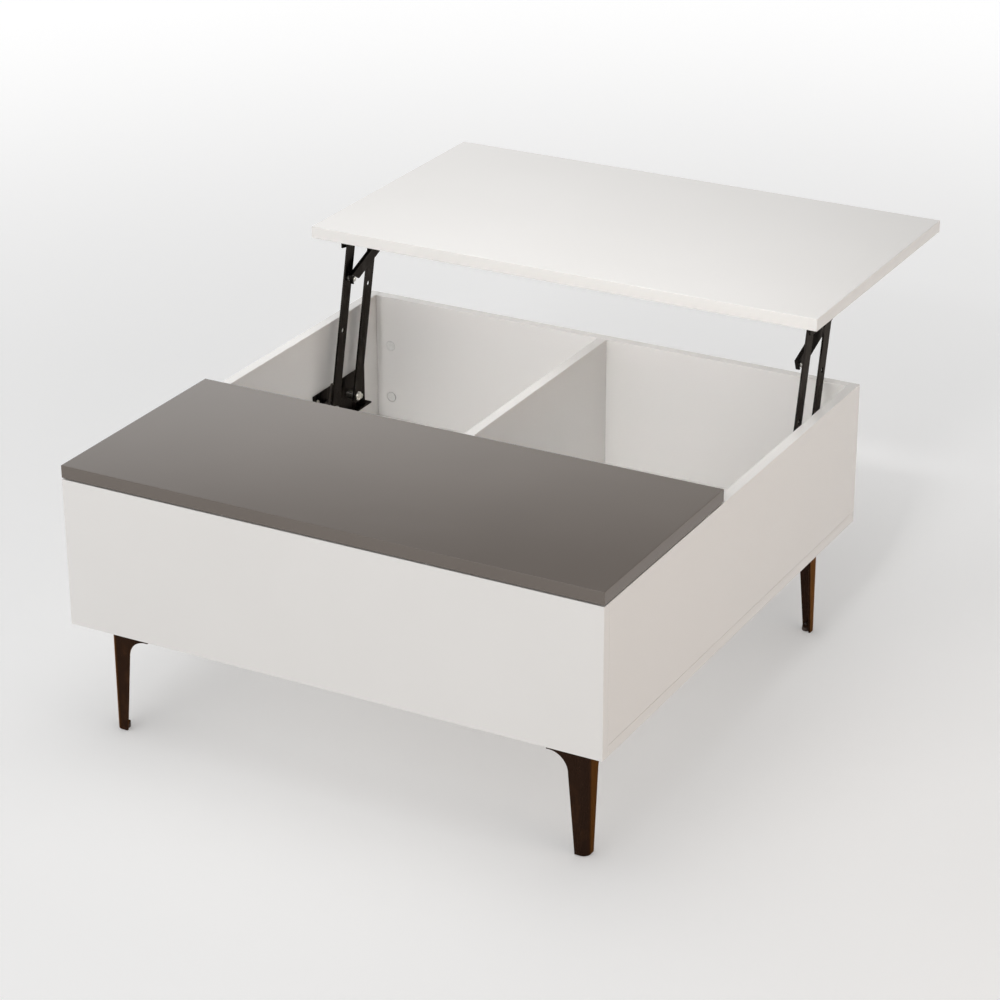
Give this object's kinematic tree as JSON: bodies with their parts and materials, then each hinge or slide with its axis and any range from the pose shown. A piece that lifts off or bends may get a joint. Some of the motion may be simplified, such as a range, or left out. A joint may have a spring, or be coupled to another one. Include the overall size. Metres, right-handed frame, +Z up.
{
  "type": "lift top coffee table",
  "caption": "Square coffee table: white box on short bent steel legs, fixed grey top in front, and a white top behind that rises and moves back on parallel steel arms with latches.",
  "frame": {"origin": "on the floor, under the middle of the outline that the table has with its lift top raised", "axes": "+X across the table to its right side, +Y from the fixed front top towards the raised top at the rear, +Z up"},
  "size_m": [0.8, 1.088, 0.535],
  "materials": {
    "white_lacquer": "high gloss white lacquer on board",
    "grey_lacquer": "high gloss warm grey lacquer on board",
    "white_plastic": "gloss white plastic cap",
    "clear_plastic": "clear soft plastic dot",
    "beech": "plain fluted dowel",
    "leg_steel": "satin black-brown powder coat",
    "black_steel": "satin black coating",
    "zinc": "bright zinc plate",
    "spring_steel": "dark oiled spring wire",
    "foot_rubber": "dark brown moulded rubber"
  },
  "bodies": {
    "root": {"bottom_panel": "white_lacquer", "front_panel": "white_lacquer", "rear_panel": "white_lacquer", "side_panel_left": "white_lacquer", "side_panel_right": "white_lacquer", "centre_divider": "white_lacquer", "support_rail_left": "white_lacquer", "support_rail_right": "white_lacquer", "fixed_top": "grey_lacquer", "cam_locks": "zinc", "cam_covers": "white_plastic", "cam_bolts": "zinc", "wood_dowels": "beech", "bottom_screws": "zinc", "top_brackets": "black_steel", "top_bracket_screws": "zinc", "rim_pads": "clear_plastic", "leg_front_left": "leg_steel", "leg_front_right": "leg_steel", "leg_rear_left": "leg_steel", "leg_rear_right": "leg_steel", "foot_front_left": "foot_rubber", "foot_front_right": "foot_rubber", "foot_rear_left": "foot_rubber", "foot_rear_right": "foot_rubber", "leg_screws": "zinc", "base_plate_left": "black_steel", "base_plate_right": "black_steel", "base_plate_screws": "zinc", "base_pivots_left": "zinc", "base_pivots_right": "zinc", "lift_spring_left": "spring_steel", "lift_spring_right": "spring_steel"},
    "front_arm_left": {"front_arm_left": "black_steel", "stop_pin_left": "zinc"},
    "front_arm_right": {"front_arm_right": "black_steel", "stop_pin_right": "zinc"},
    "rear_arm_left": {"rear_arm_left": "black_steel"},
    "rear_arm_right": {"rear_arm_right": "black_steel"},
    "top": {"lift_top": "white_lacquer", "lift_top_bumpers": "clear_plastic", "top_rail_left": "black_steel", "top_rail_right": "black_steel", "rail_pivots_left": "zinc", "rail_pivots_right": "zinc", "latch_pivot_left": "zinc", "latch_pivot_right": "zinc", "rail_screws": "zinc"},
    "latch_left": {"latch_left": "black_steel"},
    "latch_right": {"latch_right": "black_steel"}
  },
  "joints": [
    {"name": "lift_fold", "type": "hinge", "parent": "root", "child": "front_arm_left", "pos_m": [-0.3675, 0.08642, 0.25126], "axis": [1, 0, 0], "range_deg": [0, 76.63], "deforming": ["lift_spring_left"]},
    {"name": "top_level", "type": "hinge", "parent": "front_arm_left", "child": "top", "pos_m": [-0.3675, 0.145, 0.501], "axis": [1, 0, 0], "range_deg": [-76.63, 0]},
    {"name": "front_arm_right_fold", "type": "hinge", "parent": "root", "child": "front_arm_right", "pos_m": [0.3675, 0.08642, 0.25126], "axis": [1, 0, 0], "range_deg": [0, 76.63], "deforming": ["lift_spring_right"]},
    {"name": "rear_arm_left_fold", "type": "hinge", "parent": "root", "child": "rear_arm_left", "pos_m": [-0.3675, 0.15042, 0.25126], "axis": [1, 0, 0], "range_deg": [0, 76.63]},
    {"name": "rear_arm_right_fold", "type": "hinge", "parent": "root", "child": "rear_arm_right", "pos_m": [0.3675, 0.15042, 0.25126], "axis": [1, 0, 0], "range_deg": [0, 76.63]},
    {"name": "latch_left_lift", "type": "hinge", "parent": "top", "child": "latch_left", "pos_m": [-0.35925, 0.275, 0.501], "axis": [1, 0, 0], "range_deg": [-21.46, 0]},
    {"name": "latch_right_lift", "type": "hinge", "parent": "top", "child": "latch_right", "pos_m": [0.35925, 0.275, 0.501], "axis": [1, 0, 0], "range_deg": [-21.46, 0]}
  ],
  "couplings": [
    {"joint": "top_level", "follows": "lift_fold", "ratio": -1},
    {"joint": "front_arm_right_fold", "follows": "lift_fold", "ratio": 1},
    {"joint": "rear_arm_left_fold", "follows": "lift_fold", "ratio": 1},
    {"joint": "rear_arm_right_fold", "follows": "lift_fold", "ratio": 1},
    {"joint": "latch_left_lift", "follows": "lift_fold", "ratio": -0.28},
    {"joint": "latch_right_lift", "follows": "lift_fold", "ratio": -0.28}
  ]
}
